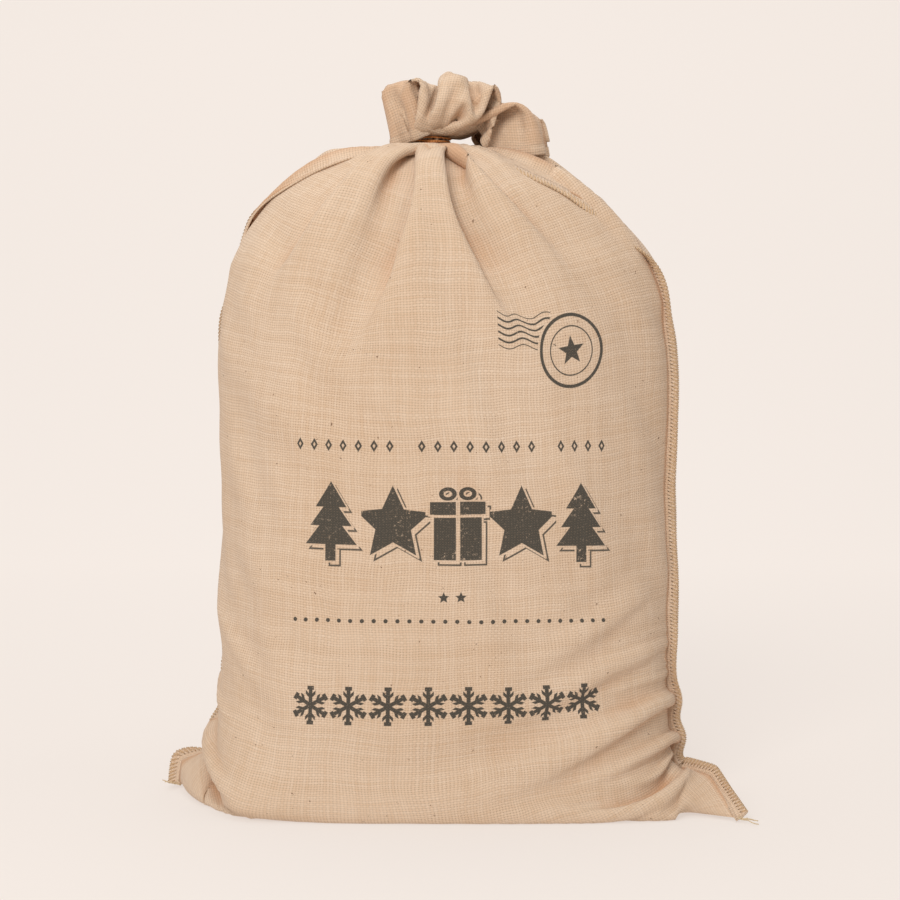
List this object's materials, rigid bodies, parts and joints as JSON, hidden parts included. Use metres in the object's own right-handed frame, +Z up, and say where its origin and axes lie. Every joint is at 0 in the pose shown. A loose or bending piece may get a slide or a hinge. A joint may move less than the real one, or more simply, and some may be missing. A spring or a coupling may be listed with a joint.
{
  "type": "stuffed fabric gift sack",
  "caption": "Upright stuffed hessian gift sack: two printed and plain cloth panels sewn at the sides and bottom, cinched below a ruffled mouth with wound twine.",
  "frame": {"origin": "on the floor under the middle of the sack's footprint", "axes": "+Z up through the tied neck, the printed front faces -Y, +X is to the right seen from the front"},
  "size_m": [0.5518, 0.22, 0.694],
  "materials": {
    "printed_hessian": "open plain-woven jute with a charcoal print",
    "hessian": "open plain-woven jute",
    "seam_cloth": "doubled jute cloth with cut edges",
    "overlock_thread": "matt spun thread",
    "hem_thread": "matt spun thread",
    "tie_twine": "twisted jute twine",
    "tail_thread": "frayed spun thread",
    "wadding": "crumpled tissue and wadding"
  },
  "bodies": {
    "sack": {"front_panel": "printed_hessian", "back_panel": "hessian", "filling": "wadding", "left_side_seam": "seam_cloth", "right_side_seam": "seam_cloth", "left_seam_thread": "overlock_thread", "right_seam_thread": "overlock_thread", "bottom_seam": "seam_cloth", "bottom_seam_thread": "overlock_thread"},
    "collar": {"neck_gather": "hessian", "neck_tie": "tie_twine", "tie_knot": "tie_twine", "tie_tails": "tie_twine"},
    "topknot": {"front_ruffle": "hessian", "back_ruffle": "hessian", "front_hem": "hessian", "back_hem": "hessian", "hem_thread": "hem_thread"},
    "left_ear": {"left_corner": "hessian", "left_corner_seam": "seam_cloth", "left_thread_tail": "tail_thread"},
    "right_ear": {"right_corner": "hessian", "right_corner_seam": "seam_cloth", "right_thread_tail": "tail_thread"}
  },
  "joints": [
    {"name": "neck_nod", "type": "hinge", "parent": "sack", "child": "collar", "pos_m": [-0.0185, 0, 0.613], "axis": [1, 0, 0], "range_deg": [-10, 10], "stiffness_Nm_per_rad": 0.15},
    {"name": "topknot_tilt", "type": "hinge", "parent": "collar", "child": "topknot", "pos_m": [-0.0185, 0, 0.634], "axis": [0, 1, 0], "range_deg": [-15, 15], "stiffness_Nm_per_rad": 0.12},
    {"name": "left_ear_lift", "type": "hinge", "parent": "sack", "child": "left_ear", "pos_m": [-0.20279, 0.05056, 0.042], "axis": [0.2419, 0.9703, 0], "range_deg": [0, 55], "stiffness_Nm_per_rad": 0.02},
    {"name": "right_ear_lift", "type": "hinge", "parent": "sack", "child": "right_ear", "pos_m": [0.20279, -0.05056, 0.042], "axis": [-0.2419, -0.9703, 0], "range_deg": [0, 55], "stiffness_Nm_per_rad": 0.02}
  ]
}
